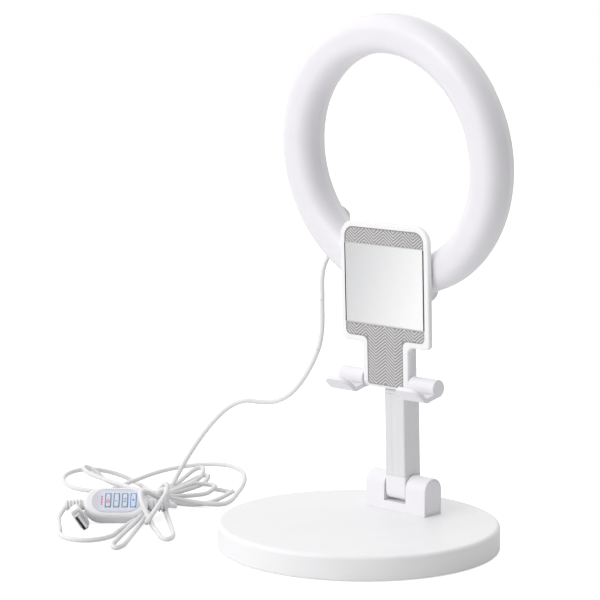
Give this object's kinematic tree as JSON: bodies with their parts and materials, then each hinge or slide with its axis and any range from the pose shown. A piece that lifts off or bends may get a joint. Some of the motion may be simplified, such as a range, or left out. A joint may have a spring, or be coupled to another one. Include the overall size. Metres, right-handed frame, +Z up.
{
  "type": "ring light",
  "caption": "Desktop ring light on a weighted round base, with a tilting telescopic pole, a mirrored folding phone plate with hooks, and a corded controller.",
  "frame": {"origin": "on the floor, under the centre of the round base", "axes": "+Z up; -Y the way the ring's front and the mirror face; +X to the right of someone facing the ring's front"},
  "size_m": [0.3716, 0.2402, 0.3733],
  "materials": {
    "white_plastic": "satin moulded white",
    "bracket_plastic": "satin moulded white",
    "diffuser_white": "milky translucent white",
    "tube_white": "satin coated",
    "tube_satin": "satin anodised",
    "collar_plastic": "plain",
    "frame_plastic": "semi-gloss",
    "grip_pad": "fine woven relief",
    "mirror_glass": "polished",
    "steel": "plain",
    "steel_weight": "plain",
    "foot_rubber": "matt",
    "cord_white": "satin sheath",
    "board_white": "solder mask",
    "board_green": "solder mask",
    "lamp": "phosphor",
    "case_plastic": "satin moulded white",
    "panel_print": "printed film",
    "button_plastic": "soft touch",
    "plug_metal": "plated",
    "plug_insulator": "plain"
  },
  "bodies": {
    "base": {"base_shell": "white_plastic", "base_bottom_cover": "white_plastic", "base_weight": "steel_weight", "base_pad": "foot_rubber", "base_cover_screws": "steel", "hinge_bracket": "bracket_plastic", "hinge_bracket_screws": "steel", "bracket_cap_left": "bracket_plastic", "bracket_cap_right": "bracket_plastic", "foot_hinge_bolt": "steel", "foot_hinge_nut": "steel", "foot_hinge_washers": "steel", "cord_bundle": "cord_white", "cord_tie": "cord_white", "cord_fall": "cord_white", "control_top": "case_plastic", "control_bottom": "case_plastic", "keypad_panel": "panel_print", "control_board": "board_green", "control_strain_reliefs": "cord_white", "plug_grip": "case_plastic", "plug_shell": "plug_metal", "plug_tongue": "plug_insulator"},
    "power_button": {"button_power": "button_plastic"},
    "dimmer_button": {"button_dimmer": "button_plastic"},
    "colour_button": {"button_colour": "button_plastic"},
    "brighter_button": {"button_brighter": "button_plastic"},
    "pole": {"pole_foot": "bracket_plastic", "outer_tube": "tube_white", "tube_set_screw": "steel", "slide_collar": "collar_plastic", "cord_at_post": "cord_white"},
    "post": {"inner_tube": "tube_satin", "guide_shoe": "collar_plastic", "neck_head": "bracket_plastic"},
    "plate": {"plate_frame": "frame_plastic", "grip_pad_upper": "grip_pad", "grip_pad_lower": "grip_pad", "mirror": "mirror_glass", "plate_pin": "steel"},
    "hook_left": {"hook_left": "bracket_plastic"},
    "hook_right": {"hook_right": "bracket_plastic"},
    "ring": {"ring_diffuser": "diffuser_white", "ring_housing": "white_plastic", "led_board": "board_white", "leds": "lamp", "ring_bracket": "bracket_plastic", "ring_bracket_screws": "steel", "ring_cap_left": "bracket_plastic", "ring_cap_right": "bracket_plastic", "ring_hinge_bolt": "steel", "ring_hinge_nut": "steel", "ring_hinge_washers": "steel", "cord_grommet": "cord_white", "cord_at_ring": "cord_white"}
  },
  "joints": [
    {"name": "pole_tilt", "type": "hinge", "parent": "base", "child": "pole", "pos_m": [0, 0.0485, 0.0351], "axis": [1, 0, 0], "range_deg": [-20, 45], "deforming": ["cord_fall"]},
    {"name": "pole_extend", "type": "slide", "parent": "pole", "child": "post", "axis": [0, -0.0436, 0.999], "range_m": [0, 0.034], "deforming": ["cord_at_post"]},
    {"name": "plate_tilt", "type": "hinge", "parent": "post", "child": "plate", "pos_m": [0, 0.03287, 0.11349], "axis": [1, 0, 0], "range_deg": [0, 55]},
    {"name": "hook_left_fold", "type": "hinge", "parent": "plate", "child": "hook_left", "pos_m": [0, 0.03287, 0.11349], "axis": [1, 0, 0], "range_deg": [-90, 0]},
    {"name": "hook_right_fold", "type": "hinge", "parent": "plate", "child": "hook_right", "pos_m": [0, 0.03287, 0.11349], "axis": [1, 0, 0], "range_deg": [-90, 0]},
    {"name": "ring_tilt", "type": "hinge", "parent": "post", "child": "ring", "pos_m": [0, 0.04209, 0.18196], "axis": [1, 0, 0], "range_deg": [-60, 0], "deforming": ["cord_at_ring"]},
    {"name": "power_press", "type": "slide", "parent": "base", "child": "power_button", "axis": [-0.4277, 0.4429, -0.788], "range_m": [0, 0.0005]},
    {"name": "dimmer_press", "type": "slide", "parent": "base", "child": "dimmer_button", "axis": [-0.4277, 0.4429, -0.788], "range_m": [0, 0.0005]},
    {"name": "colour_press", "type": "slide", "parent": "base", "child": "colour_button", "axis": [-0.4277, 0.4429, -0.788], "range_m": [0, 0.0005]},
    {"name": "brighter_press", "type": "slide", "parent": "base", "child": "brighter_button", "axis": [-0.4277, 0.4429, -0.788], "range_m": [0, 0.0005]}
  ]
}
